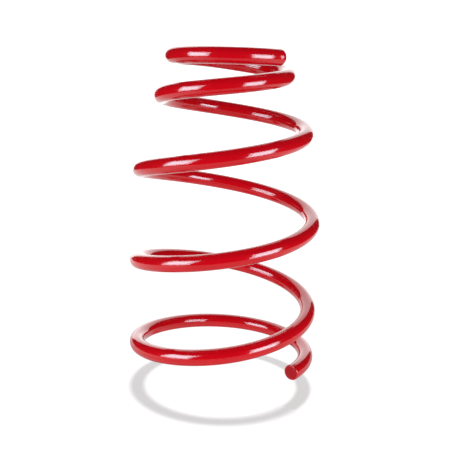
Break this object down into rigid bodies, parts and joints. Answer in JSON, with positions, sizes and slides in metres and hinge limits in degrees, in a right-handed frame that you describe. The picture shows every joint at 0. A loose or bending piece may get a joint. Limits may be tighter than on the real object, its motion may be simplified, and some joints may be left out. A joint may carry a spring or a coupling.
{
  "type": "suspension coil spring",
  "caption": "Right-hand wound compression coil spring of round wire: wide turns below, tapering to a small flat coil on top, red coated.",
  "frame": {"origin": "on the coil axis, level with the lowest point of the lower coil", "axes": "+Z along the coil axis, from the wide lower coil to the small upper coil; the lower cut end of the wire lies 38.5 degrees clockwise of +X, seen from above"},
  "size_m": [0.1554, 0.1554, 0.2565],
  "materials": {
    "coated_wire": "gloss red powder coat over spring steel"
  },
  "bodies": {
    "lower_end_coil": {"lower_end_quarter_1": "coated_wire", "lower_end_quarter_2": "coated_wire", "lower_end_quarter_3": "coated_wire"},
    "active_quarter_01": {"active_quarter_01": "coated_wire"},
    "active_quarter_02": {"active_quarter_02": "coated_wire"},
    "active_quarter_03": {"active_quarter_03": "coated_wire"},
    "active_quarter_04": {"active_quarter_04": "coated_wire"},
    "active_quarter_05": {"active_quarter_05": "coated_wire"},
    "active_quarter_06": {"active_quarter_06": "coated_wire"},
    "active_quarter_07": {"active_quarter_07": "coated_wire"},
    "active_quarter_08": {"active_quarter_08": "coated_wire"},
    "active_quarter_09": {"active_quarter_09": "coated_wire"},
    "active_quarter_10": {"active_quarter_10": "coated_wire"},
    "active_quarter_11": {"active_quarter_11": "coated_wire"},
    "active_quarter_12": {"active_quarter_12": "coated_wire"},
    "active_quarter_13": {"active_quarter_13": "coated_wire"},
    "upper_end_coil": {"upper_end_quarter_1": "coated_wire", "upper_end_quarter_2": "coated_wire", "upper_end_quarter_3": "coated_wire", "upper_end_quarter_4": "coated_wire"}
  },
  "joints": [
    {"name": "twist_01", "type": "hinge", "parent": "lower_end_coil", "child": "active_quarter_01", "pos_m": [-0.04451, -0.05596, 0.02253], "axis": [-0.7756, 0.6169, -0.1335], "range_deg": [0, 6], "stiffness_Nm_per_rad": 3410},
    {"name": "twist_02", "type": "hinge", "parent": "active_quarter_01", "child": "active_quarter_02", "pos_m": [0.05596, -0.04451, 0.03979], "axis": [-0.6142, -0.7722, -0.1626], "range_deg": [0, 6], "stiffness_Nm_per_rad": 3410},
    {"name": "twist_03", "type": "hinge", "parent": "active_quarter_02", "child": "active_quarter_03", "pos_m": [0.04451, 0.05596, 0.0584], "axis": [0.7721, -0.6141, -0.1636], "range_deg": [0, 12.01], "stiffness_Nm_per_rad": 1700},
    {"name": "twist_04", "type": "hinge", "parent": "active_quarter_03", "child": "active_quarter_04", "pos_m": [-0.05596, 0.04451, 0.07702], "axis": [0.6141, 0.7721, -0.1636], "range_deg": [0, 12.01], "stiffness_Nm_per_rad": 1700},
    {"name": "twist_05", "type": "hinge", "parent": "active_quarter_04", "child": "active_quarter_05", "pos_m": [-0.04451, -0.05596, 0.09565], "axis": [-0.7721, 0.6141, -0.1636], "range_deg": [0, 12.01], "stiffness_Nm_per_rad": 1700},
    {"name": "twist_06", "type": "hinge", "parent": "active_quarter_05", "child": "active_quarter_06", "pos_m": [0.05596, -0.04451, 0.11428], "axis": [-0.6141, -0.7721, -0.1636], "range_deg": [0, 12.01], "stiffness_Nm_per_rad": 1700},
    {"name": "twist_07", "type": "hinge", "parent": "active_quarter_06", "child": "active_quarter_07", "pos_m": [0.04444, 0.05587, 0.1329], "axis": [0.7741, -0.6114, -0.1638], "range_deg": [0, 11.97], "stiffness_Nm_per_rad": 1710},
    {"name": "twist_08", "type": "hinge", "parent": "active_quarter_07", "child": "active_quarter_08", "pos_m": [-0.05514, 0.04386, 0.15152], "axis": [0.6029, 0.7804, -0.1659], "range_deg": [0, 11.66], "stiffness_Nm_per_rad": 1730},
    {"name": "twist_09", "type": "hinge", "parent": "active_quarter_08", "child": "active_quarter_09", "pos_m": [-0.04245, -0.05337, 0.17005], "axis": [-0.7882, 0.5922, -0.1678], "range_deg": [0, 10.92], "stiffness_Nm_per_rad": 1790},
    {"name": "twist_10", "type": "hinge", "parent": "active_quarter_09", "child": "active_quarter_10", "pos_m": [0.05057, -0.04023, 0.18748], "axis": [-0.5828, -0.7969, -0.1591], "range_deg": [0, 9.81], "stiffness_Nm_per_rad": 1880},
    {"name": "twist_11", "type": "hinge", "parent": "active_quarter_10", "child": "active_quarter_11", "pos_m": [0.03745, 0.04708, 0.20243], "axis": [0.8046, -0.5769, -0.1408], "range_deg": [0, 8.5], "stiffness_Nm_per_rad": 2020},
    {"name": "twist_12", "type": "hinge", "parent": "active_quarter_11", "child": "active_quarter_12", "pos_m": [-0.04336, 0.03449, 0.21449], "axis": [0.5754, 0.8085, -0.1232], "range_deg": [0, 7.21], "stiffness_Nm_per_rad": 2200},
    {"name": "twist_13", "type": "hinge", "parent": "active_quarter_12", "child": "active_quarter_13", "pos_m": [-0.03179, -0.03997, 0.22456], "axis": [-0.8063, 0.5795, -0.1186], "range_deg": [0, 3.07], "stiffness_Nm_per_rad": 1700},
    {"name": "twist_14", "type": "hinge", "parent": "active_quarter_13", "child": "upper_end_coil", "pos_m": [0.03736, -0.02972, 0.23408], "axis": [-0.5894, -0.798, -0.1256], "range_deg": [0, 2.68], "stiffness_Nm_per_rad": 1700}
  ],
  "couplings": [
    {"joint": "twist_02", "follows": "twist_01", "ratio": 1},
    {"joint": "twist_03", "follows": "twist_01", "ratio": 2},
    {"joint": "twist_04", "follows": "twist_01", "ratio": 2},
    {"joint": "twist_05", "follows": "twist_01", "ratio": 2},
    {"joint": "twist_06", "follows": "twist_01", "ratio": 2},
    {"joint": "twist_07", "follows": "twist_01", "ratio": 1.994},
    {"joint": "twist_08", "follows": "twist_01", "ratio": 1.9421},
    {"joint": "twist_09", "follows": "twist_01", "ratio": 1.8192},
    {"joint": "twist_10", "follows": "twist_01", "ratio": 1.6337},
    {"joint": "twist_11", "follows": "twist_01", "ratio": 1.4156},
    {"joint": "twist_12", "follows": "twist_01", "ratio": 1.2011},
    {"joint": "twist_13", "follows": "twist_01", "ratio": 0.5103},
    {"joint": "twist_14", "follows": "twist_01", "ratio": 0.4459}
  ]
}
